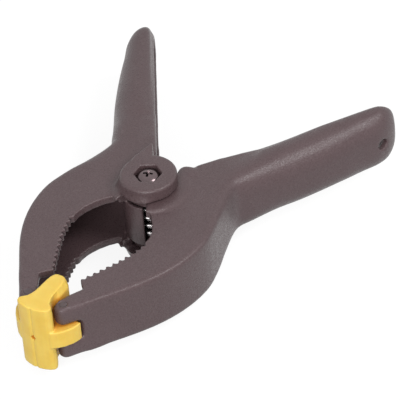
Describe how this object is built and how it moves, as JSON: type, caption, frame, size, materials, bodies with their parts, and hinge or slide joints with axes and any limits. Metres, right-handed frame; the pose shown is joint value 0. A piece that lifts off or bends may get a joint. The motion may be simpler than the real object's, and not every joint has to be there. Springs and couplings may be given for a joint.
{
  "type": "spring clamp",
  "caption": "Hand spring clamp: two moulded lever halves with toothed jaw edges turn on a sleeve pivot, closed by a torsion spring, with swivelling V-grooved pads.",
  "frame": {"origin": "on the pivot axis, at the flat lower end of the lower pivot boss, on which the closed clamp rests", "axes": "+Z along the pivot, towards the screw's head; +X from the jaws to the handles; +Y towards the left half"},
  "size_m": [0.1515, 0.1066, 0.0338],
  "materials": {
    "brown_nylon": "finely textured moulded nylon",
    "yellow_pad": "smooth soft plastic",
    "pin_steel": "plain steel",
    "spring_steel": "drawn wire",
    "plated_steel": "zinc plated"
  },
  "bodies": {
    "left_lever": {"left_half": "brown_nylon", "left_pad_pin": "pin_steel", "torsion_spring": "spring_steel", "pivot_sleeve": "plated_steel", "pivot_screw": "plated_steel", "pivot_nut": "plated_steel"},
    "right_lever": {"right_half": "brown_nylon", "right_pad_pin": "pin_steel"},
    "left_jaw_pad": {"left_pad": "yellow_pad"},
    "right_jaw_pad": {"right_pad": "yellow_pad"}
  },
  "joints": [
    {"name": "jaw_hinge", "type": "hinge", "parent": "left_lever", "child": "right_lever", "pos_m": [0, 0, 0.0169], "axis": [0, 0, 1], "range_deg": [0, 40], "stiffness_Nm_per_rad": 0.25, "springref_deg": -22.92, "deforming": ["torsion_spring"]},
    {"name": "left_pad_swivel", "type": "hinge", "parent": "left_lever", "child": "left_jaw_pad", "pos_m": [-0.0635, 0.007, 0.0169], "axis": [0, 0, 1], "range_deg": [0, 20]},
    {"name": "right_pad_swivel", "type": "hinge", "parent": "right_lever", "child": "right_jaw_pad", "pos_m": [-0.0635, -0.007, 0.0169], "axis": [0, 0, 1], "range_deg": [-20, 0]}
  ],
  "couplings": [
    {"joint": "left_pad_swivel", "follows": "jaw_hinge", "ratio": 0.5},
    {"joint": "right_pad_swivel", "follows": "jaw_hinge", "ratio": -0.5}
  ]
}
